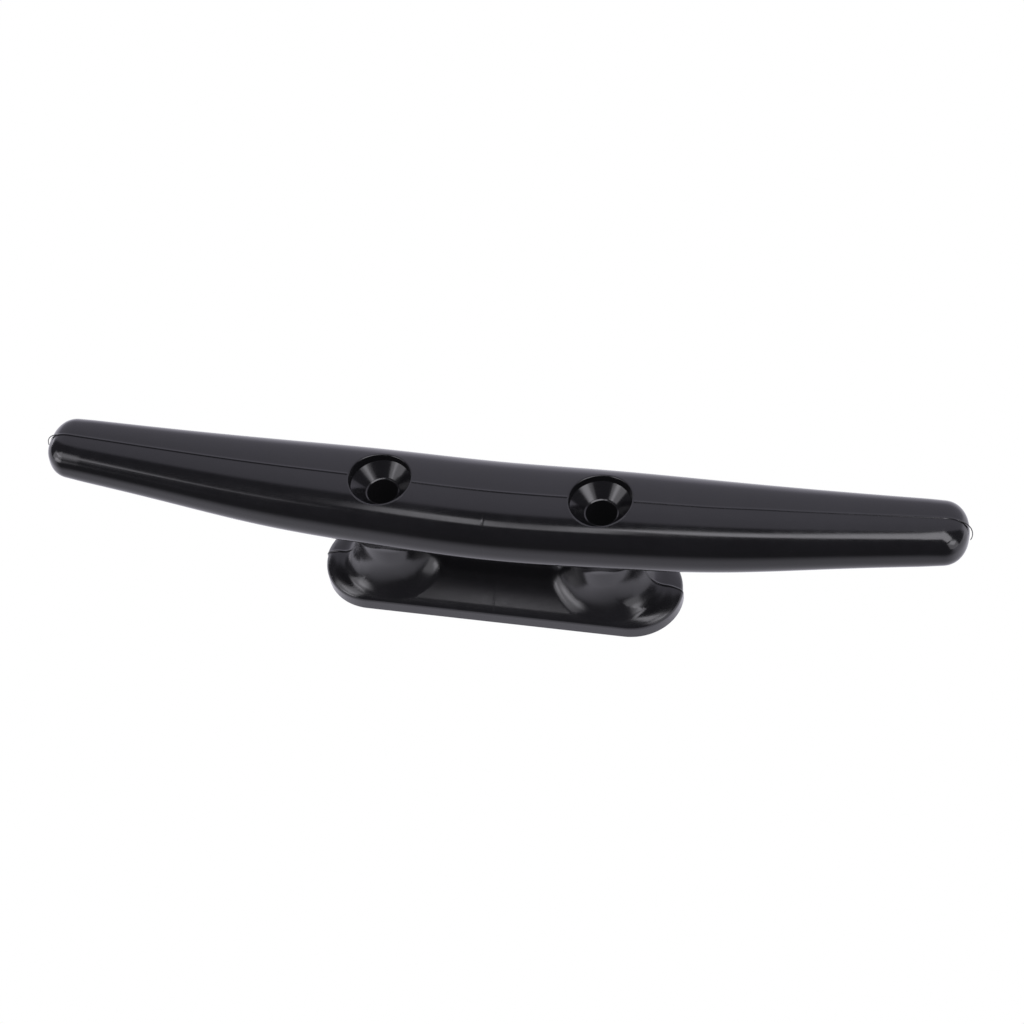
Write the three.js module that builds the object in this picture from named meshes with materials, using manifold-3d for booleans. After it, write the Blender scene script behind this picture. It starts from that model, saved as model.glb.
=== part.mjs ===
// Horn cleat, one plastic moulding: a horn bar on two round legs over an oval base,
// with a countersunk through-hole down each leg.
// Millimetres, +Z up, +X along the horns, origin at the centre of the base's underside.

import * as THREE from 'three';
import { mergeVertices } from 'three/addons/utils/BufferGeometryUtils.js';
import Module from 'manifold-3d';

const { clamp, smoothstep } = THREE.MathUtils;
const QUARTER_TURN = Math.PI / 2;

// ---------- driving dimensions ----------
// Bar
const HALF_LENGTH = 100;                                   // origin to horn tip
const KNOTS = [0, 25, 50, 75, 100];                        // distance from mid-length
const BAR_HALF_WIDTH = [11.18, 10.85, 9.84, 8.09, 6.45];   // at each knot
const BAR_HEIGHT = [13.67, 13.51, 12.69, 10.65, 9.30];     // at each knot
const BAR_CREST = [32.77, 33.69, 34.68, 36.48, 38.76];     // z of the bar's top at each knot
const SECTION_POWER = 3.2;                                 // superellipse exponent of the section
const TIP_SECTION_POWER = 2.71;                            // the same at the tip, where it is rounder
const TIP_SECTION_START = 91.1;                            // x where the exponent starts to change
const TIP_START = 94.94;                                   // x where the tip's rounding starts
const TIP_POWER = 2.215;                                   // superellipse exponent of that rounding
const TIP_LEAN = 0.12;                                     // inward shift of the tip's face per mm up
const LEAN_START = 80;                                     // x where the lean sets in
const BAR_FACETS = 40;                                     // round the section
const BAR_STATIONS = 44;                                   // intervals along the whole bar
const TIP_STATIONS = 7;                                    // of which in each tip

// Holes: radii, and depths below the bar's crest
const HOLE_X = 24.13;                                      // hole and leg axis, each side of the middle
const BORE_R = 3.35;                                       // clearance bore
const BORE_DEPTH = 4.70;                                   // narrow land round the bore's mouth
const LAND_R = 3.76;
const LAND_DEPTH = 4.52;                                   // foot of the countersink cone
const CONE_R = 6.66;
const CONE_DEPTH = 2.15;                                   // top of the cone
const RIM_R = 6.78;                                        // drafted wall near the bar's surface
const RIM_DEPTH = 0.3;
const HOLE_OVERRUN = 5;                                    // cutter beyond the part at both ends
const HOLE_SIDES = 40;

// Base
const BASE_HALF_LENGTH = 41.05;
const BASE_HALF_WIDTH = 11.62;                             // also the radius of its round ends
const BASE_THICK = 5;
const EDGE_R = 1.3;                                        // corner above the side wall
const EDGE_Z = 2.88;                                       // top of the side wall
const CROWN_R = 5.2;                                       // wide arc from that corner to the flat top
const CROWN_INSET = 3.7;                                   // inset from the outline where it is level
const SADDLE_SLOPE = 0.40;                                 // start of the rise between the legs
const SADDLE_STEEPEN = 0.0287;                             // growth of that slope per mm
const SADDLE_INSET = 5;                                    // inset where it starts to round over
const SADDLE_FULL_X = 18;                                  // full saddle up to here
const SADDLE_END_X = 31;                                   // faded out by here
const BASE_INSETS = [0, 0.05, 0.2, 0.48, 0.9, 1.5, 2.2, 3.0, 3.9, 5.0, 6.2, 7.4, 8.8, 10.2];
const STRAIGHT_STEPS = 16;                                 // along each straight side
const BEND_STEPS = 20;                                     // round each end

// Legs
const LEG_R = 7.9;
const LEG_BOTTOM = 1;                                      // buried in the base
const LEG_TOP = 27;                                        // buried in the bar
const FOOT_WIDE = 5.2;                                     // leg to base, upright elliptical fillet
const FOOT_HIGH = 8.84;
const FOOT_SINK = 0.06;                                    // overlap of fillet and base
const FOOT_MIN_INSET = 0.5;                                // fillet stays this far inside the outline
const FOOT_FIRST_ANGLE = 0.4;                              // search for the fillet's touching point
const FOOT_ANGLE_STEP = 0.01;
const HEAD_OUT = { along: 4, across: 1.2 };                // leg to bar fillet, along X and along Y
const HEAD_RISE = { along: HEAD_OUT.along, across: 2.4 };
const HEAD_SINK = 0.12;                                    // overlap of fillet and bar
const LEG_SIDES = 36;
const FOOT_STEPS = 8;
const HEAD_STEPS = 6;

// ---------- solids and meshes ----------
const wasm = await Module();
wasm.setup();

function toSolid(geometry) {
  // normals and texture coordinates would keep coincident vertices apart
  for (const name of ['normal', 'uv']) geometry.deleteAttribute(name);
  const merged = mergeVertices(geometry, 1e-4);
  const corners = merged.index.array;
  const triangles = [];
  for (let i = 0; i < corners.length; i += 3) {
    const [a, b, c] = corners.slice(i, i + 3);
    if (a !== b && b !== c && c !== a) triangles.push(a, b, c);
  }
  return new wasm.Manifold(new wasm.Mesh({
    numProp: 3,
    vertProperties: merged.attributes.position.array,
    triVerts: Uint32Array.from(triangles),
  }));
}

function toGeometry(solid) {
  const mesh = solid.getMesh();
  const geometry = new THREE.BufferGeometry();
  geometry.setAttribute('position', new THREE.BufferAttribute(mesh.vertProperties, 3));
  geometry.setIndex(new THREE.BufferAttribute(mesh.triVerts, 1));
  geometry.computeVertexNormals();
  return geometry;
}

// ---------- bar ----------
// Smooth curve through a value at each knot, the same on both sides of the middle.
function curveThrough(values) {
  const curve = new THREE.CubicInterpolant(
    Float32Array.from(KNOTS), Float32Array.from(values), 1, new Float32Array(1),
  );
  curve.settings = {
    endingStart: THREE.ZeroSlopeEnding,
    endingEnd: THREE.ZeroCurvatureEnding,
  };
  return (x) => curve.evaluate(Math.min(Math.abs(x), HALF_LENGTH))[0];
}
const halfWidthAt = curveThrough(BAR_HALF_WIDTH);
const heightAt = curveThrough(BAR_HEIGHT);
const crestAt = curveThrough(BAR_CREST);

// 0 up to the distance start from the middle, 1 from the distance end on.
function ramp(x, start, end) {
  return clamp((Math.abs(x) - start) / (end - start), 0, 1);
}

// Ordinate of a unit superellipse at t from its centre.
function superellipse(t, power) {
  return Math.pow(1 - Math.pow(t, power), 1 / power);
}

function barSection(x) {
  const height = heightAt(x);
  const shrink = superellipse(ramp(x, TIP_START, HALF_LENGTH), TIP_POWER);
  const roundness = ramp(x, TIP_SECTION_START, HALF_LENGTH);
  return {
    halfWidth: halfWidthAt(x) * shrink,
    halfHeight: 0.5 * height * shrink,
    middle: crestAt(x) - 0.5 * height,
    power: SECTION_POWER + (TIP_SECTION_POWER - SECTION_POWER) * roundness,
    lean: TIP_LEAN * ramp(x, LEAN_START, TIP_START),
  };
}

function undersideAt(x, y) {
  const { halfWidth, halfHeight, middle } = barSection(x);
  const t = Math.min(Math.abs(y) / halfWidth, 0.999);
  return middle - halfHeight * superellipse(t, SECTION_POWER);
}

// x of a ring of the bar, from the +X tip to the -X one, closer together towards each tip.
function stationX(j) {
  if (j <= TIP_STATIONS) {
    const angle = (j / TIP_STATIONS) * QUARTER_TURN;
    return HALF_LENGTH - (HALF_LENGTH - TIP_START) * (1 - Math.cos(angle));
  }
  if (j >= BAR_STATIONS - TIP_STATIONS) return -stationX(BAR_STATIONS - j);
  return TIP_START * (1 - (2 * (j - TIP_STATIONS)) / (BAR_STATIONS - 2 * TIP_STATIONS));
}

// A sphere's grid, its poles moved to the tips and each ring to the bar's section there.
function barSolid() {
  const geometry = new THREE.SphereGeometry(1, BAR_FACETS, BAR_STATIONS);
  const position = geometry.attributes.position;
  for (let j = 0, i = 0; j <= BAR_STATIONS; j++) {
    const x = stationX(j);
    const { halfWidth, halfHeight, middle, power, lean } = barSection(x);
    // rounding noise becomes a true zero, which the root would otherwise enlarge
    const squared = (v) => (
      Math.abs(v) < 1e-6 ? 0 : Math.sign(v) * Math.pow(Math.abs(v), 2 / power)
    );
    for (let k = 0; k <= BAR_FACETS; k++, i++) {
      const angle = (2 * Math.PI * k) / BAR_FACETS;
      const y = halfWidth * squared(Math.cos(angle));
      const rise = halfHeight * squared(Math.sin(angle));
      position.setXYZ(i, x - Math.sign(x) * lean * rise, y, middle + rise);
    }
  }
  return toSolid(geometry);
}

// ---------- base ----------
const BEND_X = BASE_HALF_LENGTH - BASE_HALF_WIDTH;         // centre of each round end
// inset where the corner arc runs into the crown
const EDGE_END = EDGE_R * (1 - (CROWN_INSET - EDGE_R) / (CROWN_R - EDGE_R));
// inset where the crown has flattened to the saddle's slope
const SADDLE_START = CROWN_INSET - (CROWN_R * SADDLE_SLOPE) / Math.hypot(1, SADDLE_SLOPE);

function saddleRise(inset) {
  const run = Math.min(inset, SADDLE_INSET) - SADDLE_START;
  const span = BASE_HALF_WIDTH - SADDLE_INSET;
  const lastSlope = SADDLE_SLOPE + SADDLE_STEEPEN * (SADDLE_INSET - SADDLE_START);
  const overAngle = clamp((inset - SADDLE_INSET) / span, 0, 1) * QUARTER_TURN;
  return SADDLE_SLOPE * run + 0.5 * SADDLE_STEEPEN * run ** 2
    + (lastSlope * span * Math.sin(overAngle)) / QUARTER_TURN;
}

function crownZ(inset) {
  const toLevel = Math.max(CROWN_INSET - inset, 0);
  return BASE_THICK - CROWN_R + Math.sqrt(CROWN_R ** 2 - toLevel ** 2);
}

// Height of the base's top at a distance in from its outline.
function baseTop(inset, x) {
  if (inset < EDGE_END) return EDGE_Z + Math.sqrt(inset * (2 * EDGE_R - inset));
  const crown = crownZ(inset);
  if (inset <= SADDLE_START) return crown;
  const saddle = crownZ(SADDLE_START) + saddleRise(inset);
  return crown + (saddle - crown) * (1 - smoothstep(Math.abs(x), SADDLE_FULL_X, SADDLE_END_X));
}

function insetAt(x, y) {
  return BASE_HALF_WIDTH - Math.hypot(Math.max(Math.abs(x) - BEND_X, 0), y);
}

// The oval drawn in by an inset: the -Y side, the +X end, then both turned half a turn.
function baseOutline(inset) {
  const radius = BASE_HALF_WIDTH - inset;
  const points = [];
  for (const turn of [1, -1]) {
    for (let i = 0; i < STRAIGHT_STEPS; i++) {
      points.push([turn * (-BEND_X + (2 * BEND_X * i) / STRAIGHT_STEPS), -turn * radius]);
    }
    for (let i = 0; i < BEND_STEPS; i++) {
      const angle = -QUARTER_TURN + (Math.PI * i) / BEND_STEPS;
      points.push([
        turn * (BEND_X + radius * Math.cos(angle)),
        turn * radius * Math.sin(angle),
      ]);
    }
  }
  return points;
}

// Rings of the outline drawn in step by step and lifted to the top's height there.
function baseSolid() {
  const rim = baseOutline(0);
  const count = rim.length;
  const positions = rim.flatMap(([x, y]) => [x, y, 0]);
  for (const inset of BASE_INSETS) {
    for (const [x, y] of baseOutline(inset)) positions.push(x, y, baseTop(inset, x));
  }

  // side wall and the sloping top, ring to ring
  const index = [];
  for (let ring = 0; ring < BASE_INSETS.length; ring++) {
    for (let i = 0; i < count; i++) {
      const a = ring * count + i;
      const b = ring * count + ((i + 1) % count);
      index.push(a, b, b + count, a, b + count, a + count);
    }
  }

  // underside
  const rimPoints = rim.map(([x, y]) => new THREE.Vector2(x, y));
  for (const [a, b, c] of THREE.ShapeUtils.triangulateShape(rimPoints, [])) index.push(a, c, b);

  // strip left along the middle of the top, then its two rounded ends
  const top = BASE_INSETS.length * count;
  const secondBend = 2 * STRAIGHT_STEPS + BEND_STEPS;
  for (let i = 0; i < STRAIGHT_STEPS; i++) {
    const near = top + i;
    const far = top + secondBend - i;
    index.push(near, near + 1, far - 1, near, far - 1, far);
  }
  for (const start of [STRAIGHT_STEPS, secondBend]) {
    for (let i = 1; i < BEND_STEPS; i++) {
      index.push(top + start, top + start + i, top + ((start + i + 1) % count));
    }
  }

  const geometry = new THREE.BufferGeometry();
  geometry.setAttribute('position', new THREE.Float32BufferAttribute(positions, 3));
  geometry.setIndex(index);
  return toSolid(geometry);
}

// ---------- legs ----------
const footRadius = (angle) => LEG_R + FOOT_WIDE * (1 - Math.cos(angle));

// The foot fillet's ellipse comes down until it first touches the base.
function footContact(toXY) {
  let centreZ = -Infinity;
  let endAngle;
  for (let angle = FOOT_FIRST_ANGLE; angle <= QUARTER_TURN; angle += FOOT_ANGLE_STEP) {
    const [x, y] = toXY(footRadius(angle));
    const inset = insetAt(x, y);
    if (inset < FOOT_MIN_INSET) continue;
    const z = baseTop(inset, x) + FOOT_HIGH * Math.sin(angle);
    if (z > centreZ) {
      centreZ = z;
      endAngle = angle;
    }
  }
  return { centreZ: centreZ - FOOT_SINK, endAngle };
}

// Points [radius, z] up the leg in one direction from its axis.
function legProfile(cos, sin, toXY) {
  const blend = ({ along, across }) => along * cos * cos + across * sin * sin;
  const { centreZ, endAngle } = footContact(toXY);
  const foot = [];
  for (let i = 0; i <= FOOT_STEPS; i++) {
    const angle = endAngle * (1 - i / FOOT_STEPS);
    foot.push([footRadius(angle), centreZ - FOOT_HIGH * Math.sin(angle)]);
  }

  const out = blend(HEAD_OUT);
  const rise = blend(HEAD_RISE);
  const headZ = undersideAt(...toXY(LEG_R + out)) + HEAD_SINK;
  const head = [];
  for (let i = 0; i <= HEAD_STEPS; i++) {
    const angle = (i / HEAD_STEPS) * QUARTER_TURN;
    head.push([LEG_R + out * (1 - Math.cos(angle)), headZ - rise * (1 - Math.sin(angle))]);
  }
  return [[0, LEG_BOTTOM], [foot[0][0], LEG_BOTTOM], ...foot, ...head, [0, LEG_TOP]];
}

// A lathe's grid, each column moved to the leg's profile in that direction.
function legSolid(side) {
  const rows = FOOT_STEPS + HEAD_STEPS + 5;
  const blank = Array.from({ length: rows }, (_, j) => new THREE.Vector2(1, j));
  const geometry = new THREE.LatheGeometry(blank, LEG_SIDES);
  for (let k = 0; k <= LEG_SIDES; k++) {
    const angle = ((k % LEG_SIDES) * 2 * Math.PI) / LEG_SIDES;
    const cos = Math.cos(angle);
    const sin = Math.sin(angle);
    const toXY = (radius) => [side * HOLE_X + radius * cos, radius * sin];
    legProfile(cos, sin, toXY).forEach(([radius, z], j) => {
      geometry.attributes.position.setXYZ(k * rows + j, ...toXY(radius), z);
    });
  }
  return toSolid(geometry);
}

// ---------- holes ----------
// Bore, narrow land, cone and drafted wall, as one cutter through the whole part.
function holeSolid(side) {
  const crest = crestAt(HOLE_X);
  const draft = (RIM_R - CONE_R) / (CONE_DEPTH - RIM_DEPTH);
  const profile = [
    [0, -HOLE_OVERRUN],
    [BORE_R, -HOLE_OVERRUN],
    [BORE_R, crest - BORE_DEPTH],
    [LAND_R, crest - LAND_DEPTH],
    [CONE_R, crest - CONE_DEPTH],
    [CONE_R + draft * (CONE_DEPTH + HOLE_OVERRUN), crest + HOLE_OVERRUN],
    [0, crest + HOLE_OVERRUN],
  ].map(([radius, z]) => new THREE.Vector2(radius, z));
  const geometry = new THREE.LatheGeometry(profile, HOLE_SIDES);
  geometry.rotateX(QUARTER_TURN);
  geometry.translate(side * HOLE_X, 0, 0);
  return toSolid(geometry);
}

// ---------- cleat ----------
function cleatSolid() {
  let body = barSolid().add(baseSolid());
  for (const side of [-1, 1]) body = body.add(legSolid(side));
  for (const side of [-1, 1]) body = body.subtract(holeSolid(side));
  return body;
}

const blackPlastic = new THREE.MeshStandardMaterial({
  color: 0x1b1b1d,
  roughness: 0.34,
  metalness: 0,
});

const cleatBody = new THREE.Mesh(toGeometry(cleatSolid()), blackPlastic);
cleatBody.name = 'cleat_body';

const cleat = new THREE.Group();
cleat.name = 'cleat_horn';
cleat.add(cleatBody);

export default cleat;
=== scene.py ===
"""Black moulded nylon cleat: a horned bar on two legs over an oval base, with a countersunk
hole down through each leg.

The bar runs along X, the base stands on z = 0 and +Z is up; the camera looks from the front (-Y).
Shapes are in millimetres; materials, lights and the floor are in metres.
"""

import math

import bpy
import numpy as np
from mathutils import Matrix, Vector


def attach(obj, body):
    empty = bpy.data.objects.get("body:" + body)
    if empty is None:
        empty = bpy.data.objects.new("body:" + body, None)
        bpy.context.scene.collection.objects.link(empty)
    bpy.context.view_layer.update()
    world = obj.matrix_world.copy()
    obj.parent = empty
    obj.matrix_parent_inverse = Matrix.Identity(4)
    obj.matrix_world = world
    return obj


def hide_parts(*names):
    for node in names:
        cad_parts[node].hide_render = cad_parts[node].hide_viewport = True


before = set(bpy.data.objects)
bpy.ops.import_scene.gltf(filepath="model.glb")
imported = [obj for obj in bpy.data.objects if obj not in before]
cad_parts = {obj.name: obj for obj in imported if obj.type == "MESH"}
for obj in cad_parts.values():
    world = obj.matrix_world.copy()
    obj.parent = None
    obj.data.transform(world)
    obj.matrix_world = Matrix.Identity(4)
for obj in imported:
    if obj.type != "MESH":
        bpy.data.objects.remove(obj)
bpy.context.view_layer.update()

MM = 0.001    # metres in a millimetre

# ------------------------------------------------------------------ sizes, in millimetres
# Bar: half width, height and crest height at five stations from mid-length to the tip
HALF = 100.0
KNOTS = np.linspace(0.0, HALF, 5)
HALF_WIDTH = np.array([11.18, 10.85, 9.84, 8.09, 6.45])
HEIGHT = np.array([13.67, 13.51, 12.69, 10.65, 9.30])
CREST = np.array([32.77, 33.69, 34.68, 36.48, 38.76])
POWER = 3.2                     # superellipse exponent of the bar's section
TIP_START, TIP_POWER = 94.94, 2.215
TIP_SECTION, SECTION_START = 2.71, 91.1    # section's exponent at the tip, where it starts to change
TIP_LEAN, LEAN_START = 0.12, 80.0

# Legs and countersunk holes; depths are below the crest above the hole
HOLE_X, BORE_R, LEG_R = 24.13, 3.35, 7.9
LEG_BOTTOM, LEG_TOP = 1.0, 27.0
LAND_R, LAND_DEPTH, BORE_DEPTH = 3.76, 4.52, 4.70
CONE_R, CONE_DEPTH, RIM_R, RIM_ROUND = 6.66, 2.15, 6.78, 0.20
RIM_RUN = 0.55                  # how far the cutter runs on past the rim's arc
MOUTH = 0.35                    # chamfer at the bore's foot
CUT_BOTTOM, CUT_TOP = -1.2, 41.0
LIP_R, LIP_TUBE, LIP_SINK = 7.02, 0.17, -0.03
TURNS = 128                     # segments round a hole

# Base
BASE_L, BASE_W, BASE_T, BASE_FOOT = 41.05, 11.62, 5.0, 0.35    # half length, half width, height
FOOT_ZONE = 2.0                 # below this the wall follows the foot's rounding
EDGE_R, EDGE_Z = 1.30, 2.88     # corner above the base's side wall
CROWN_R, CROWN_E = 5.2, 3.7     # wide arc from that corner up to the flat top
ARC_SPLIT = (0.788, 0.615)      # square to the line that parts the two arcs
SADDLE_SLOPE, SADDLE_STEEPEN, SADDLE_E = 0.40, 0.0287, 5.0
SADDLE_X, SADDLE_FADE = 18, 13  # the saddle is full to this x, then fades over this length
SHIFT, SHIFT_BAND = 0.22, 0.3   # rear mould half sits this far left; width of the change

# Fillets where the legs meet the base and the bar, and the heights each one is limited to
FOOT_FILLET, FOOT_TALL, HEAD_FILLET = 5.2, 1.7, 4.0    # the foot's is FOOT_TALL times as high as wide
FOOT_FILLET_TOP, HEAD_FILLET_BOTTOM = 18, 14

# Parting line's ridge: height and width to each side, then how it moves back and drops on the right
SEAM_H, SEAM_FAR, SEAM_NEAR = 0.078, 0.24, 0.22
SEAM_BACK, SEAM_BACK_X, SEAM_BACK_RUN = 0.26, 45, 15
SEAM_DROP, SEAM_DROP_X, SEAM_DROP_RUN = 0.30, 30, 20

# Threads of flash at the horn tips
THREAD_Z = 33.9                 # height of the centre they curl round
THREAD_R, THREAD_TAPER, THREAD_STEPS, THREAD_SIDES = 0.13, 0.04, 26, 10

# Body grid: (start, end, step) runs; "near" is measured towards the front, "far" to the back
GRID_X = [(-100.7, -94.0, 0.32), (-94.0, -43.0, 1.1), (-43.0, 43.0, 0.56),
          (43.0, 94.0, 1.1), (94.0, 100.7, 0.32)]
GRID_NEAR = [(0.0, 0.30, 0.06), (0.30, 0.6, 0.15), (0.6, 12.0, 0.475)]
GRID_FAR = [(0.0, 0.48, 0.06), (0.48, 0.96, 0.12), (0.96, 12.0, 0.48)]
GRID_Z = [(-0.3, 0.7, 0.125), (0.7, 39.4, 0.47)]
GRID_BLOCK = 40                 # grid layers worked out at a time


def spline(values):
    """Natural cubic through the knots, level at mid-length."""
    count, gap = len(KNOTS), np.diff(KNOTS)
    matrix, rhs = np.zeros((count, count)), np.zeros(count)
    matrix[0, :2] = 2 * gap[0], gap[0]
    rhs[0] = 6 * (values[1] - values[0]) / gap[0]
    for i in range(1, count - 1):
        matrix[i, i - 1:i + 2] = gap[i - 1], 2 * (gap[i - 1] + gap[i]), gap[i]
        rhs[i] = 6 * ((values[i + 1] - values[i]) / gap[i]
                      - (values[i] - values[i - 1]) / gap[i - 1])
    matrix[-1, -1] = 1
    bend = np.linalg.solve(matrix, rhs)

    def value_at(x):
        x = np.clip(np.abs(x), 0, KNOTS[-1])
        i = np.clip(np.searchsorted(KNOTS, x, side="right") - 1, 0, count - 2)
        after, before, span = KNOTS[i + 1] - x, x - KNOTS[i], gap[i]
        return (bend[i] * after ** 3 / (6 * span) + bend[i + 1] * before ** 3 / (6 * span)
                + (values[i] / span - bend[i] * span / 6) * after
                + (values[i + 1] / span - bend[i + 1] * span / 6) * before)
    return value_at


width_at, height_at, crest_at = spline(HALF_WIDTH), spline(HEIGHT), spline(CREST)


# ------------------------------------------------------------------ the body as a distance field
def ease(t):
    t = np.clip(t, 0, 1)
    return t * t * (3 - 2 * t)


def bar_field(x, y, z):
    """Horned bar: superelliptic sections, rounded off at both tips."""
    along = np.abs(x)
    wide, tall = width_at(along), 0.5 * height_at(along)
    rise = z - (crest_at(along) - tall)
    change = np.clip((along - SECTION_START) / (HALF - SECTION_START), 0, 1)
    power = POWER - (POWER - TIP_SECTION) * change
    section = (np.abs(y / wide) ** power + np.abs(rise / tall) ** power) ** (1 / power)
    lean = TIP_LEAN * rise * np.clip((along - LEAN_START) / (TIP_START - LEAN_START), 0, 1)
    tip = np.maximum(along + lean - TIP_START, 0) / (HALF - TIP_START)
    return (section ** TIP_POWER + tip ** TIP_POWER) ** (1 / TIP_POWER) - 1


def saddle(inset):
    """Extra height of the base between the legs, a distance inset from its outline."""
    start = CROWN_E - CROWN_R * SADDLE_SLOPE / math.hypot(1, SADDLE_SLOPE)
    span = BASE_W - SADDLE_E
    rest = np.sqrt(CROWN_R ** 2 - np.clip(CROWN_E - inset, 0, CROWN_R) ** 2) - CROWN_R
    foot = math.sqrt(CROWN_R ** 2 - (CROWN_E - start) ** 2) - CROWN_R
    run = np.minimum(inset, SADDLE_E) - start
    last = SADDLE_SLOPE + SADDLE_STEEPEN * (SADDLE_E - start)
    rise = SADDLE_SLOPE * run + 0.5 * SADDLE_STEEPEN * run ** 2
    turn = np.clip((inset - SADDLE_E) / span, 0, 1) * math.pi / 2
    over = last * span * 2 / math.pi * np.sin(turn)
    return np.where(inset > start, foot + rise + over - rest, 0.0)


def plate_field(x, y, z):
    """Oval base: rounded foot, side wall, corner arc and crown arc, with the saddle on top."""
    shift = SHIFT * (ease(y / SHIFT_BAND + 0.5) - 0.5)
    past = np.maximum(np.abs(x + shift) - (BASE_L - BASE_W), 0)
    inset = BASE_W - np.sqrt(past * past + y * y)
    top = z - saddle(inset) * (1 - ease((np.abs(x) - SADDLE_X) / SADDLE_FADE))
    on_crown = (inset - EDGE_R) * ARC_SPLIT[0] + (top - EDGE_Z) * ARC_SPLIT[1] > 0
    corner = np.where(top > EDGE_Z, np.hypot(inset - EDGE_R, top - EDGE_Z) - EDGE_R, -inset)
    crown = np.where(inset < CROWN_E,
                     np.hypot(inset - CROWN_E, top - BASE_T + CROWN_R) - CROWN_R, top - BASE_T)
    side, under = BASE_FOOT - inset, BASE_FOOT - z
    foot = (np.hypot(np.maximum(side, 0), np.maximum(under, 0))
            + np.minimum(np.maximum(side, under), 0) - BASE_FOOT)
    return np.where(z > FOOT_ZONE, np.where(on_crown, crown, corner), foot)


def value_and_slope(field, x, y, z, step=1e-3):
    """Field's value, its slope along each axis and the slope's length."""
    value = field(x, y, z)
    slope = ((field(x + step, y, z) - value) / step,
             (field(x, y + step, z) - value) / step,
             (field(x, y, z + step) - value) / step)
    return value, slope, np.sqrt(slope[0] * slope[0] + slope[1] * slope[1] + slope[2] * slope[2])


def bar_dist(x, y, z):
    value, slope, length = value_and_slope(bar_field, x, y, z)
    length = length + 1e-9
    return value / length, [part / length for part in slope]


def plate_dist(x, y, z):
    value, slope, length = value_and_slope(plate_field, x, y, z)
    length = np.maximum(length, 0.5)
    return value / length, [part / length for part in slope]


def leg_dist(x, y):
    off = x - np.where(x >= 0, HOLE_X, -HOLE_X)
    radius = np.sqrt(off ** 2 + y * y) + 1e-9
    return radius - LEG_R, (off / radius, y / radius, np.zeros_like(x))


def fillet(dist1, normal1, dist2, normal2, radius):
    """Union of two solids with the fillet a ball of this radius leaves."""
    cosine = np.clip(normal1[0] * normal2[0] + normal1[1] * normal2[1]
                     + normal1[2] * normal2[2], -0.98, 0.98)
    gap1, gap2 = radius - dist1, radius - dist2
    sine2 = 1 - cosine * cosine
    part1, part2 = (gap1 - cosine * gap2) / sine2, (gap2 - cosine * gap1) / sine2
    reach = np.sqrt(np.maximum(
        (gap1 * gap1 + gap2 * gap2 - 2 * cosine * gap1 * gap2) / sine2, 0))
    plain = np.minimum(dist1, dist2)
    return np.where((part1 > 0) & (part2 > 0) & (gap1 > 0) & (gap2 > 0),
                    np.minimum(plain, radius - reach), plain)


def smooth_field(x, y, z):
    """Bar, legs and base joined with their fillets."""
    bar, bar_normal = bar_dist(x, y, z)
    plate, (px, py, pz) = plate_dist(x, y, z)
    wall, wall_normal = leg_dist(x, y)
    leg = np.maximum(wall, np.maximum(z - LEG_TOP, LEG_BOTTOM - z))
    # measuring from a base stretched in height makes the foot fillet taller than wide
    scale = np.sqrt(px * px + py * py + (FOOT_TALL * pz) ** 2) + 1e-9
    foot = fillet(wall, wall_normal, plate / scale,
                  (px / scale, py / scale, FOOT_TALL * pz / scale), FOOT_FILLET)
    low = np.where(z < FOOT_FILLET_TOP, foot, np.inf)
    low = np.where(z > LEG_BOTTOM, low, plate)
    head = fillet(wall, wall_normal, bar, bar_normal, HEAD_FILLET)
    high = np.where((z >= HEAD_FILLET_BOTTOM) & (z < LEG_TOP), head, bar)
    return np.minimum(np.minimum(low, high), leg)


def detail_field(x, y, z):
    """The smooth body with the raised parting line where the mould halves met."""
    fade_in = np.clip((z - 0.5) / 0.5, 0, 1)
    off = y - SEAM_BACK * ease((x - SEAM_BACK_X) / SEAM_BACK_RUN)
    high = SEAM_H * (1 - SEAM_DROP * ease((x - SEAM_DROP_X) / SEAM_DROP_RUN))
    ridge = high * np.exp(-(off / np.where(off > 0, SEAM_FAR, SEAM_NEAR)) ** 2) * fade_in
    return smooth_field(x, y, z) - ridge


def gradient(field, points, step=2e-3):
    out = np.empty_like(points)
    for k in range(3):
        ahead, behind = points.copy(), points.copy()
        ahead[:, k] += step
        behind[:, k] -= step
        out[:, k] = (field(*ahead.T) - field(*behind.T)) / (2 * step)
    return out


# ------------------------------------------------------------------ the body's mesh
def lines(runs):
    """Grid lines from (start, end, step) runs."""
    out = [runs[0][0]]
    for start, end, step in runs:
        count = max(int(round((end - start) / step)), 1)
        out += list(np.linspace(start, end, count + 1)[1:])
    return np.array(out)


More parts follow.
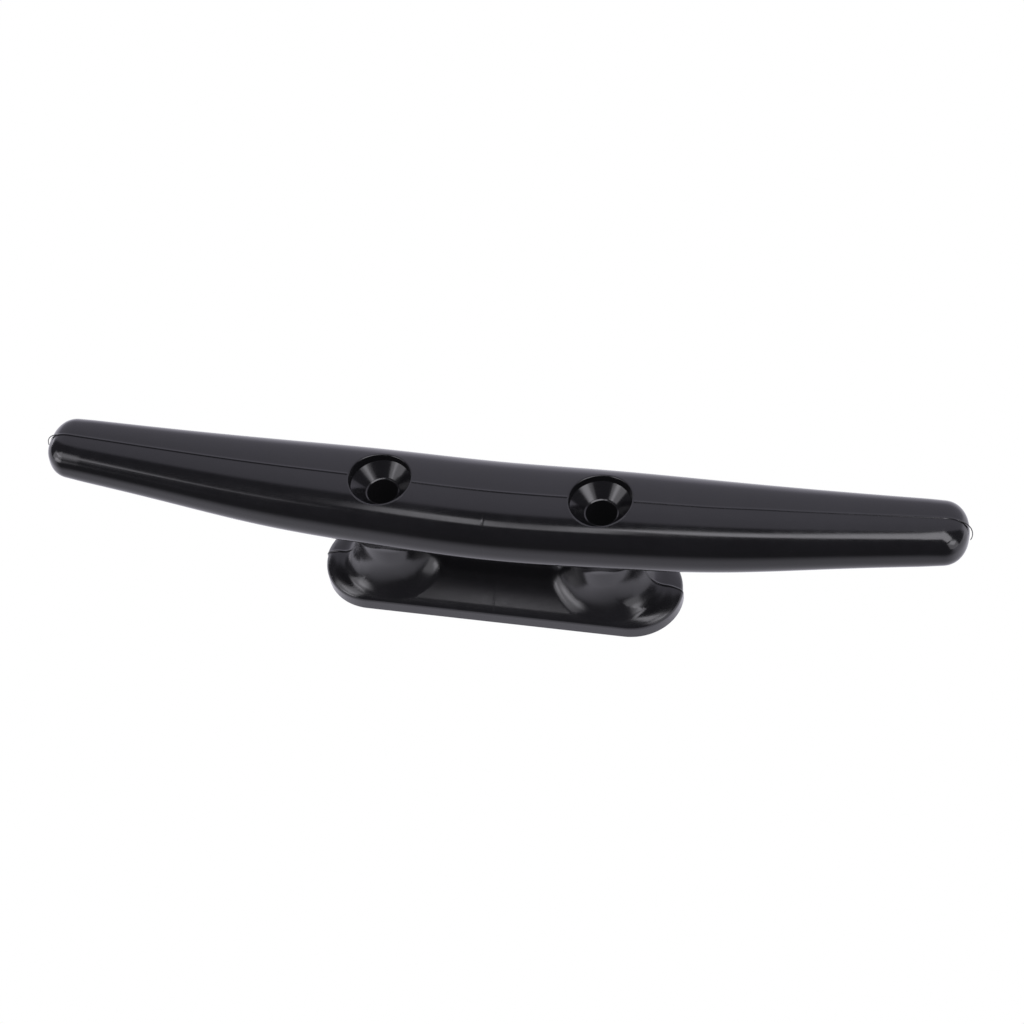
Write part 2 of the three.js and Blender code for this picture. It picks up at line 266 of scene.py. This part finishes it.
def grid_mesh(field, grid):
    """Closed quad mesh of field = 0 on an uneven grid (surface nets)."""
    shape = [len(axis_lines) for axis_lines in grid]
    values = np.empty(shape)
    for i in range(0, shape[0], GRID_BLOCK):
        x, y, z = np.meshgrid(grid[0][i:i + GRID_BLOCK], grid[1], grid[2], indexing="ij")
        values[i:i + GRID_BLOCK] = field(x.ravel(), y.ravel(), z.ravel()).reshape(x.shape)
    inside = values < 0
    # one vertex in each cell the surface passes through
    count = sum(inside[i:shape[0] - 1 + i, j:shape[1] - 1 + j, k:shape[2] - 1 + k].astype(np.int8)
                for i in (0, 1) for j in (0, 1) for k in (0, 1))
    cells = np.stack(np.nonzero((count > 0) & (count < 8)))
    index = -np.ones(count.shape, np.int64)
    index[tuple(cells)] = np.arange(cells.shape[1])
    # it lies at the mean of the crossings on the cell's twelve edges
    total, hits = np.zeros((cells.shape[1], 3)), np.zeros(cells.shape[1])
    for axis in range(3):
        side1, side2 = [k for k in range(3) if k != axis]
        for i in (0, 1):
            for j in (0, 1):
                start = cells.copy()
                start[side1] += i
                start[side2] += j
                end = start.copy()
                end[axis] += 1
                value1, value2 = values[tuple(start)], values[tuple(end)]
                crossed = (value1 < 0) != (value2 < 0)
                part = np.where(crossed, value1 / np.where(crossed, value1 - value2, 1), 0)
                point = [grid[k][start[k]] for k in range(3)]
                point[axis] = point[axis] + part * (grid[axis][end[axis]] - point[axis])
                total[crossed] += np.stack(point, 1)[crossed]
                hits[crossed] += 1
    # one quad round each grid edge the surface crosses
    quads = []
    for axis in range(3):
        side1, side2 = (axis + 1) % 3, (axis + 2) % 3
        edges = np.stack(np.nonzero(np.diff(inside, axis=axis)))
        keep = ((edges[side1] > 0) & (edges[side2] > 0)
                & (edges[side1] < shape[side1] - 1) & (edges[side2] < shape[side2] - 1))
        edges = edges[:, keep]
        quad = []
        for i, j in ((1, 1), (0, 1), (0, 0), (1, 0)):
            cell = edges.copy()
            cell[side1] -= i
            cell[side2] -= j
            quad.append(index[tuple(cell)])
        quad = np.stack(quad, 1)
        flip = ~inside[tuple(edges)]
        quad[flip] = quad[flip][:, ::-1]
        quads.append(quad)
    return total / hits[:, None], np.concatenate(quads)


def settle(field, points, rounds=4):
    """Moves points onto field = 0 along the field's slope."""
    for _ in range(rounds):
        slope = gradient(field, points)
        step = field(*points.T) / np.maximum((slope * slope).sum(1), 0.05)
        points = points - slope * np.clip(step, -0.3, 0.3)[:, None]
    return points


def build_body():
    grid_y = np.concatenate([-lines(GRID_NEAR)[:0:-1], lines(GRID_FAR)])
    points, quads = grid_mesh(detail_field, (lines(GRID_X), grid_y, lines(GRID_Z)))
    return settle(detail_field, points), quads


# ------------------------------------------------------------------ countersunk holes
def round_corners(rows):
    """Open profile from (point, radius, steps) rows, each corner with a radius made an arc."""
    points = [row[0] for row in rows]
    out = [points[0]]
    for k in range(1, len(rows) - 1):
        corner, radius, steps = np.array(points[k]), rows[k][1], rows[k][2]
        if radius <= 0:
            out.append(tuple(corner))
            continue
        back, ahead = np.array(points[k - 1]) - corner, np.array(points[k + 1]) - corner
        back, ahead = back / np.linalg.norm(back), ahead / np.linalg.norm(ahead)
        half = 0.5 * math.acos(float(back @ ahead))
        middle = back + ahead
        centre = corner + middle / np.linalg.norm(middle) * (radius / math.sin(half))
        start = corner + back * (radius / math.tan(half)) - centre
        end = corner + ahead * (radius / math.tan(half)) - centre
        first = math.atan2(start[1], start[0])
        turn = (math.atan2(end[1], end[0]) - first + math.pi) % (2 * math.pi) - math.pi
        for i in range(steps + 1):
            angle = first + turn * i / steps
            out.append((centre[0] + radius * math.cos(angle),
                        centre[1] + radius * math.sin(angle)))
    out.append(points[-1])
    return out


def top_surface(x, y):
    """Height of the bar's upper surface."""
    tall = 0.5 * height_at(x)
    bulge = np.maximum(1 - np.abs(y / width_at(x)) ** POWER, 0) ** (1 / POWER)
    return crest_at(x) - tall + tall * bulge


def hole_profile(hole_x, angle):
    """Cutter's (radius, z) profile from below the base to above the bar, in one direction."""
    crest = float(crest_at(HOLE_X))

    def surface(radius):
        x, y = hole_x + radius * math.cos(angle), radius * math.sin(angle)
        return float(top_surface(np.array([x]), np.array([y]))[0])

    rim = (RIM_R, surface(RIM_R))
    slope = (surface(RIM_R + 0.3) - surface(RIM_R)) / 0.3
    tangent = np.array([1.0, slope]) / math.hypot(1.0, slope)
    # (radius, z), corner radius, steps in the corner's arc
    points = round_corners([
        ((BORE_R + MOUTH, CUT_BOTTOM), 0, 0),
        ((BORE_R + MOUTH, 0.0), 0, 0),
        ((BORE_R, MOUTH), 0, 0),
        ((BORE_R, crest - BORE_DEPTH), 0.09, 3),
        ((LAND_R - 0.04, crest - BORE_DEPTH + 0.10), 0.05, 2),
        ((LAND_R, crest - LAND_DEPTH), 0.05, 2),
        ((CONE_R, crest - CONE_DEPTH), 0.16, 4),
        (rim, RIM_ROUND, 9),
        (tuple(np.array(rim) + tangent * 3.0), 0, 0)])
    # the rim's arc ends tangent to the surface: stop a little short of that and run on through it
    end, before = np.array(points[-3]), np.array(points[-4])
    out = end + (end - before) / np.linalg.norm(end - before) * RIM_RUN
    return points[:-2] + [tuple(out), (out[0], CUT_TOP)]


def hole_cutter(hole_x):
    profiles = [hole_profile(hole_x, 2 * math.pi * j / TURNS) for j in range(TURNS)]
    count = len(profiles[0])
    points = [(hole_x + radius * math.cos(2 * math.pi * j / TURNS),
               radius * math.sin(2 * math.pi * j / TURNS), z)
              for j in range(TURNS) for radius, z in profiles[j]]
    faces = []
    for j in range(TURNS):
        k = (j + 1) % TURNS
        for i in range(count - 1):
            faces.append((j * count + i, k * count + i, k * count + i + 1, j * count + i + 1))
    bottom, top = len(points), len(points) + 1
    points += [(hole_x, 0.0, profiles[0][0][1]), (hole_x, 0.0, profiles[0][-1][1])]
    for j in range(TURNS):
        k = (j + 1) % TURNS
        faces.append((bottom, k * count, j * count))
        faces.append((top, j * count + count - 1, k * count + count - 1))
    return np.array(points), faces


# ------------------------------------------------------------------ lips and threads of flash
def tube(path, across, radii, closed):
    """Round tube along a path; across gives two unit vectors square to the path at each point."""
    sides, count = THREAD_SIDES, len(path)
    points, faces = [], []
    for centre, (side, up), radius in zip(path, across, radii):
        for k in range(sides):
            angle = 2 * math.pi * k / sides
            points.append(centre + (side * math.cos(angle) + up * math.sin(angle)) * radius)
    for i in range(count if closed else count - 1):
        j = (i + 1) % count
        for k in range(sides):
            m = (k + 1) % sides
            faces.append((i * sides + k, i * sides + m, j * sides + m, j * sides + k))
    if not closed:
        faces.append(tuple(range(sides))[::-1])
        faces.append(tuple((count - 1) * sides + k for k in range(sides)))
    return np.array(points), faces


def rim_lip(hole_x):
    """Thin raised lip round a countersink, where the core pin met the mould."""
    path, across = [], []
    step = 0.05
    for j in range(TURNS):
        angle = 2 * math.pi * j / TURNS
        ray = np.array([math.cos(angle), math.sin(angle), 0.0])
        x, y = hole_x + LIP_R * ray[0], LIP_R * ray[1]
        z = top_surface(np.array([x, x + step, x]), np.array([y, y, y + step]))
        normal = np.array([-(z[1] - z[0]) / step, -(z[2] - z[0]) / step, 1.0])
        normal /= np.linalg.norm(normal)
        path.append(np.array([x, y, z[0]]) + normal * LIP_SINK)
        side = ray - normal * (ray @ normal)
        across.append((side / np.linalg.norm(side), normal))
    return tube(path, across, [LIP_TUBE] * TURNS, closed=True)


def tip_thread(side, y, start, end, stand):
    """Hair of flash that peels off the parting line and curls round a horn tip.

    side is -1 left or 1 right, start and end are degrees from straight up, and stand is how
    far the hair comes to stand off the bar.
    """
    path, across = [], []
    centre = np.array([side * TIP_START, y, THREAD_Z])
    for i in range(THREAD_STEPS + 1):
        part = i / THREAD_STEPS
        angle = math.radians(start + (end - start) * part)
        ray = np.array([side * math.sin(angle), 0.0, math.cos(angle)])
        # find the bar's surface along the ray by halving
        low, high = 0.0, 9.0
        for _ in range(40):
            middle = 0.5 * (low + high)
            point = centre + ray * middle
            inside = bar_field(point[0:1], point[1:2], point[2:3])[0] < 0
            low, high = (middle, high) if inside else (low, middle)
        point = (centre + ray * low)[None]
        normal = gradient(bar_field, point)[0]
        normal[1] = 0
        normal /= np.linalg.norm(normal)
        lift = stand * math.sin(math.pi * min(part * 1.15, 1.0) * 0.5) ** 1.3
        root = 0.10 * (1 - part) ** 6
        path.append(point[0] + normal * (lift - root))
    for i in range(len(path)):
        along = path[min(i + 1, THREAD_STEPS)] - path[max(i - 1, 0)]
        along /= np.linalg.norm(along)
        across.append((np.array([0.0, 1.0, 0.0]), np.cross(along, [0.0, 1.0, 0.0])))
    radii = [THREAD_R - THREAD_TAPER * i / THREAD_STEPS for i in range(THREAD_STEPS + 1)]
    return tube(path, across, radii, closed=False)


# ------------------------------------------------------------------ putting the moulding together
def outward(points, faces):
    """Turns a closed mesh's faces so that they all point out."""
    volume = 0.0
    for face in faces:
        for i in range(1, len(face) - 1):
            volume += float(points[face[0]] @ np.cross(points[face[i]], points[face[i + 1]]))
    return points, faces if volume > 0 else [tuple(face)[::-1] for face in faces]


def link(name, data):
    obj = bpy.data.objects.new(name, data)
    bpy.context.scene.collection.objects.link(obj)
    return obj


def mesh_object(name, points, faces, cut):
    """Object whose faces all carry the given value of "cut"."""
    mesh = bpy.data.meshes.new(name)
    mesh.from_pydata([tuple(point) for point in np.asarray(points) * MM], [],
                     [tuple(int(v) for v in face) for face in faces])
    tag = mesh.attributes.new("cut", "INT", "FACE")
    tag.data.foreach_set("value", np.full(len(mesh.polygons), cut, np.int32))
    mesh.update()
    return link(name, mesh)


def apply_modifiers(obj):
    depsgraph = bpy.context.evaluated_depsgraph_get()
    depsgraph.update()
    new = bpy.data.meshes.new_from_object(obj.evaluated_get(depsgraph))
    old = obj.data
    obj.modifiers.clear()
    obj.data = new
    bpy.data.meshes.remove(old)


def build_moulding():
    body = mesh_object("cleat_moulding", *build_body(), cut=0)
    holes = (-HOLE_X, HOLE_X)
    tools = [("UNION", rim_lip(hole_x)) for hole_x in holes]
    tools += [("UNION", tip_thread(side=-1, y=0.0, start=22, end=90, stand=0.60)),
              ("UNION", tip_thread(side=1, y=SEAM_BACK, start=24, end=111, stand=0.58))]
    tools += [("DIFFERENCE", hole_cutter(hole_x)) for hole_x in holes]
    cutters = []
    for operation, shape in tools:
        cutter = mesh_object("cutter", *outward(*shape), cut=1)
        boolean = body.modifiers.new("cut", "BOOLEAN")
        boolean.operation, boolean.solver, boolean.object = operation, "EXACT", cutter
        cutters.append(cutter)
    apply_modifiers(body)
    for cutter in cutters:
        bpy.data.objects.remove(cutter, do_unlink=True)
    return body


def finish_normals(obj, sharp_angle=38, rim_above=20):
    """Body faces take the field's own slope; cut faces are smoothed by angle.

    Above rim_above (mm), cut faces also take the field's slope where they touch the body.
    """
    mesh = obj.data
    vert_count, face_count, loop_count = len(mesh.vertices), len(mesh.polygons), len(mesh.loops)
    places = np.zeros(vert_count * 3)
    mesh.vertices.foreach_get("co", places)
    places = places.reshape(-1, 3) / MM
    cut = np.zeros(face_count, np.int32)
    mesh.attributes["cut"].data.foreach_get("value", cut)
    start, loop_vert = np.zeros(face_count, np.int64), np.zeros(loop_count, np.int64)
    mesh.polygons.foreach_get("loop_start", start)
    mesh.loops.foreach_get("vertex_index", loop_vert)
    loop_face = np.zeros(loop_count, np.int64)
    loop_face[start] = 1
    loop_face = np.cumsum(loop_face) - 1
    loop_cut = cut[np.argsort(start)][loop_face].astype(bool)
    mesh.shade_smooth()
    mesh.set_sharp_from_angle(angle=math.radians(sharp_angle))
    normals = np.zeros(loop_count * 3, np.float32)
    mesh.corner_normals.foreach_get("vector", normals)
    normals = normals.reshape(-1, 3).astype(float)
    slope = gradient(detail_field, places)
    slope /= np.linalg.norm(slope, axis=1, keepdims=True) + 1e-12
    on_body = np.zeros(vert_count, bool)
    on_body[loop_vert[~loop_cut]] = True
    take = ~loop_cut | (on_body[loop_vert] & (places[loop_vert, 2] > rim_above))
    normals[take] = slope[loop_vert[take]]
    mesh.attributes.remove(mesh.attributes["cut"])
    mesh.normals_split_custom_set([tuple(normal) for normal in normals])
    mesh.update()


body = build_moulding()
finish_normals(body)


# ------------------------------------------------------------------ node trees
class Graph:
    """Short way to write a node tree."""

    def __init__(self, owner):
        owner.use_nodes = True
        self.tree = owner.node_tree
        self.tree.nodes.clear()

    def node(self, kind, **settings):
        node = self.tree.nodes.new(kind)
        for name, value in settings.items():
            setattr(node, name, value)
        return node

    def put(self, socket, value):
        """Links a socket, or sets a plain value."""
        if isinstance(value, bpy.types.NodeSocket):
            self.tree.links.new(value, socket)
        else:
            socket.default_value = value

    def fill(self, kind, inputs, **settings):
        """New node with the named inputs put in."""
        node = self.node(kind, **settings)
        for name, value in inputs.items():
            self.put(node.inputs[name], value)
        return node

    def math(self, operation, *values):
        node = self.node("ShaderNodeMath", operation=operation)
        for k, value in enumerate(values):
            self.put(node.inputs[k], value)
        return node.outputs[0]

    def scaled(self, value, by, plus):
        return self.math("MULTIPLY_ADD", value, by, plus)

    def vary(self, noise, by, around):
        """Value that a noise moves to both sides of around."""
        return self.scaled(self.math("SUBTRACT", noise, 0.5), by=by, plus=around)

    def step(self, value, start, end):
        """Smooth 0 to 1 as value goes from start to end."""
        return self.fill("ShaderNodeMapRange",
                         {"Value": value, "From Min": start, "From Max": end},
                         interpolation_type="SMOOTHERSTEP").outputs["Result"]

    def noise(self, vector, scale, detail, rough):
        return self.fill("ShaderNodeTexNoise", {"Vector": vector, "Scale": scale,
                         "Detail": detail, "Roughness": rough}).outputs["Fac"]

    def coords(self, name):
        return self.node("ShaderNodeTexCoord").outputs[name]

    def split(self, vector):
        return self.fill("ShaderNodeSeparateXYZ", {"Vector": vector}).outputs

    def bump(self, inputs):
        return self.fill("ShaderNodeBump", {"Strength": 1.0, "Distance": 1.0, **inputs}).outputs[0]

    def white_to_camera(self, kind, output, tint, level):
        """The camera sees plain white; every other ray sees it glow in tint at this level, which on
        the floor is painted light.
        """
        lit = self.fill(kind, {"Color": tint, "Strength": level})
        seen = self.fill(kind, {"Color": (1, 1, 1, 1), "Strength": 1.0})
        mix = self.node("ShaderNodeMixShader")
        camera_ray = self.node("ShaderNodeLightPath").outputs["Is Camera Ray"]
        for k, source in enumerate((camera_ray, lit.outputs[0], seen.outputs[0])):
            self.put(mix.inputs[k], source)
        self.fill(output, {"Surface": mix.outputs[0]})


# ------------------------------------------------------------------ material: black moulded nylon
def moulded_plastic():
    mat = bpy.data.materials.new("black_moulded_nylon")
    graph = Graph(mat)
    place = graph.coords("Object")
    flow = graph.noise(place, scale=45.0, detail=3.0, rough=0.5)       # centimetre clouds
    mottle = graph.noise(place, scale=420.0, detail=3.0, rough=0.55)   # from the mould's polish
    grain = graph.noise(place, scale=3200.0, detail=2.0, rough=0.6)    # skin of the plastic

    flow_share, mottle_share = 0.6, 0.4
    tone = graph.math("ADD", graph.math("MULTIPLY", flow, flow_share),
                      graph.math("MULTIPLY", mottle, mottle_share))
    ramp = graph.fill("ShaderNodeValToRGB", {"Fac": tone})
    stops = ((0.35, (0.0022, 0.0021, 0.0026, 1)), (0.68, (0.0042, 0.0041, 0.0049, 1)))
    for element, (position, colour) in zip(ramp.color_ramp.elements, stops):
        element.position, element.color = position, colour

    rough = graph.vary(mottle, by=0.07, around=0.145)
    rough = graph.vary(flow, by=0.08, around=rough)
    rough = graph.vary(grain, by=0.10, around=rough)
    # the legs and base came out of a duller part of the mould
    x, y, z = graph.split(place)
    low = graph.step(z, start=0.020, end=0.012)
    rough = graph.scaled(low, by=0.06, plus=rough)

    # heights in metres: cooling waves, knit line, mottle and grain
    wave_height, knit_depth, mottle_height, grain_height = 12e-6, 12e-6, 1.8e-6, 0.4e-6
    calm = graph.scaled(low, by=-0.5, plus=1.0)
    wave = graph.noise(place, scale=130.0, detail=1.0, rough=0.4)
    wave = graph.math("MULTIPLY", graph.math("MULTIPLY", wave, wave_height), calm)
    # knit line up the middle of the front, where the plastic from the two ends met
    knit_x, knit_width = 0.0001, 0.00022
    across = graph.math("DIVIDE", graph.math("SUBTRACT", x, knit_x), knit_width)
    square = graph.math("MULTIPLY", across, across)
    knit = graph.math("EXPONENT", graph.math("MULTIPLY", square, -1.0))
    knit = graph.math("MULTIPLY", knit, graph.step(y, start=0.001, end=-0.004))
    coarse = graph.bump({"Height": graph.scaled(knit, by=-knit_depth, plus=wave)})
    skin = graph.math("ADD", graph.math("MULTIPLY", mottle, mottle_height),
                      graph.math("MULTIPLY", grain, grain_height))
    fine = graph.bump({"Height": skin, "Normal": coarse})
    bsdf = graph.fill("ShaderNodeBsdfPrincipled", {
        "Base Color": ramp.outputs[0], "IOR": 1.5, "Roughness": rough, "Normal": fine})
    graph.fill("ShaderNodeOutputMaterial", {"Surface": bsdf.outputs[0]})
    return mat


plastic = moulded_plastic()
for obj in (body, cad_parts["cleat_body"]):
    obj.data.materials.clear()
    obj.data.materials.append(plastic)
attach(body, "root")
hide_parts("cleat_body")


# ------------------------------------------------------------------ floor
FLOOR_HALF, FLOOR_Z = 4, -0.00005


def painted_glow_floor():
    """Table that glows with painted light, lit by no lamp: bright under and beside the object,
    falling off to the dark side in front.
    """
    mat = bpy.data.materials.new("pale_floor")
    graph = Graph(mat)
    x, y, z = graph.split(graph.coords("Object"))
    across = graph.math("ABSOLUTE", x)
    front = graph.step(y, start=-0.065, end=-0.005)
    ahead = graph.math("MINIMUM", y, 0.0)
    side = graph.step(graph.scaled(ahead, by=1.1, plus=across), start=0.05, end=0.16)
    # painted light: how brightly the floor glows at each place, a pool of light that no lamp casts
    level = graph.scaled(graph.math("MAXIMUM", front, side), by=1.0, plus=0.10)
    level = graph.scaled(graph.step(y, start=0.02, end=0.14), by=0.36, plus=level)
    graph.white_to_camera("ShaderNodeEmission", "ShaderNodeOutputMaterial",
                          tint=(0.985, 0.965, 1.08, 1), level=level)
    return mat


mesh = bpy.data.meshes.new("floor")
mesh.from_pydata([(i * FLOOR_HALF, j * FLOOR_HALF, FLOOR_Z)
                  for i, j in ((-1, -1), (1, -1), (1, 1), (-1, 1))], [], [(0, 1, 2, 3)])
floor = link("floor", mesh)
mesh.materials.append(painted_glow_floor())


# ------------------------------------------------------------------ studio
LIGHT_TINT = (1.0, 0.985, 1.045)
AIM = Vector((0, 0, 0.02))      # point the lights face

# name, degrees right and back from straight up, distance, width, depth, radiance,
# turn about its own axis in degrees, half width of its soft edge
SOFTBOXES = [
    ("left_front", -55.0, -32.0, 0.80, 0.620, 0.526, 1.90, 10, 0.05),
    ("left_strip", -36.8, -21.4, 0.80, 0.340, 0.380, 2.50, -16, 0.025),
    ("left_glow", -63.7, -53.0, 0.80, 0.356, 0.383, 2.90, 70, 0.11),
    ("right_front", 62.0, -33.7, 0.80, 0.550, 0.850, 1.60, 4, 0.05),
    ("right_core", 52.0, -24.0, 0.78, 0.26, 0.36, 2.50, 35, 0.05),
    ("overhead_left", -10.6, -7.0, 0.62, 0.060, 0.180, 3.2, 50, 0.03),
    ("overhead", 16.9, -3.6, 0.60, 0.520, 0.279, 4.2, 67, 0.015),
    ("back_left", -85.0, 45.0, 0.80, 0.12, 0.34, 2.0, -27, 0.02),
    ("back_right", 84.0, 73.0, 0.80, 0.40, 0.16, 1.8, 0, 0.05),
]


def direction(right, back):
    """Unit vector that leans these degrees to the right and to the back of straight up."""
    lean = math.hypot(right, back)
    scale = math.sin(math.radians(lean)) / max(lean, 1e-9)
    return Vector((scale * right, scale * back, math.cos(math.radians(lean))))


def softbox(name, right, back, distance, wide, deep, radiance, turn, soft):
    """Rectangular light whose brightness falls off to either side of its nominal edge."""
    light = bpy.data.lights.new(name, "AREA")
    light.shape = "RECTANGLE"
    full = (wide + 2 * soft, deep + 2 * soft)
    light.size, light.size_y = full
    light.energy = radiance * math.pi * full[0] * full[1]
    light.color = LIGHT_TINT
    light.cycles.max_bounces = 4
    graph = Graph(light)
    place = graph.split(graph.node("ShaderNodeNewGeometry").outputs["Parametric"])
    level = 1.0
    for k in (0, 1):
        off = graph.math("ABSOLUTE", graph.math("SUBTRACT", place[k], 0.5))
        off = graph.math("MULTIPLY", off, full[k])
        half = 0.5 * full[k]
        fade = graph.step(off, start=half, end=max(half - 2 * soft, 0.0))
        level = graph.math("MULTIPLY", level, fade)
    shade = graph.fill("ShaderNodeEmission", {"Strength": level})
    graph.fill("ShaderNodeOutputLight", {"Surface": shade.outputs[0]})
    aim = direction(right, back)
    obj = link(name, light)
    obj.location = aim * distance + AIM
    obj.rotation_mode = "QUATERNION"
    spin = Matrix.Rotation(math.radians(turn), 3, "Z").to_quaternion()
    obj.rotation_quaternion = aim.to_track_quat("Z", "Y") @ spin
    obj.visible_camera = False


def studio_world():
    world = bpy.data.worlds.new("studio")
    bpy.context.scene.world = world
    graph = Graph(world)
    x, y, z = graph.split(graph.coords("Generated"))
    # degrees to the right and to the back of straight up
    lean = graph.math("MULTIPLY", graph.math("ARCCOSINE", z), 180 / math.pi)
    flat = graph.math("SQRT", graph.math("ADD", graph.math("MULTIPLY", x, x),
                                         graph.math("MULTIPLY", y, y)))
    flat = graph.math("MAXIMUM", flat, 1e-6)
    right = graph.math("DIVIDE", graph.math("MULTIPLY", lean, x), flat)
    back = graph.math("DIVIDE", graph.math("MULTIPLY", lean, y), flat)
    aside = graph.math("ABSOLUTE", right)
    # back wall: its top edge curves with the distance to the side, and it is brighter
    # towards its foot and its two corners
    edge_curve, edge_share, upper_share = -0.0048, 0.82, 0.18
    rise = graph.scaled(graph.math("MULTIPLY", right, right), by=edge_curve, plus=back)
    wall = graph.math(
        "ADD", graph.math("MULTIPLY", graph.step(rise, start=17.0, end=23.0), edge_share),
        graph.math("MULTIPLY", graph.step(rise, start=26.0, end=44.0), upper_share))
    low = graph.step(back, start=62.0, end=84.0)
    corner = graph.math("MULTIPLY", graph.step(aside, start=55.0, end=71.0),
                        graph.step(back, start=30.0, end=46.0))
    level = graph.scaled(wall, by=0.80, plus=0.11)
    level = graph.scaled(low, by=0.50, plus=level)
    level = graph.scaled(corner, by=0.63, plus=level)
    graph.white_to_camera("ShaderNodeBackground", "ShaderNodeOutputWorld",
                          tint=(0.985, 0.955, 1.12, 1), level=level)


studio_world()
for row in SOFTBOXES:
    softbox(*row)

# ------------------------------------------------------------------ camera
AZIMUTH, ELEVATION, ROLL = (math.radians(v) for v in (17.905, 51.591, -8.517))
TARGET, CAMERA_DISTANCE = Vector((4.422, 0, 26.165)), 399.255    # millimetres


def add_camera():
    back = Vector((math.sin(AZIMUTH) * math.cos(ELEVATION),
                   -math.cos(AZIMUTH) * math.cos(ELEVATION), math.sin(ELEVATION)))
    level = (-back).cross(Vector((0, 0, 1))).normalized()
    upright = level.cross(-back)
    right = level * math.cos(ROLL) + upright * math.sin(ROLL)
    up = upright * math.cos(ROLL) - level * math.sin(ROLL)
    data = bpy.data.cameras.new("camera")
    data.sensor_width = 36.0
    data.lens = 65.0998828
    data.clip_start, data.clip_end = 0.01, 50.0
    camera = link("camera", data)
    camera.matrix_world = Matrix((right, up, back)).transposed().to_4x4()
    camera.location = (TARGET + back * CAMERA_DISTANCE) * MM
    bpy.context.scene.camera = camera


add_camera()
view = bpy.context.scene.view_settings
view.view_transform = "Standard"
view.look = "None"
# the lens's veiling glare over a white table: blacks never quite reach zero
view.use_curve_mapping = True
view.curve_mapping.black_level = (-0.0022, -0.0022, -0.0024)
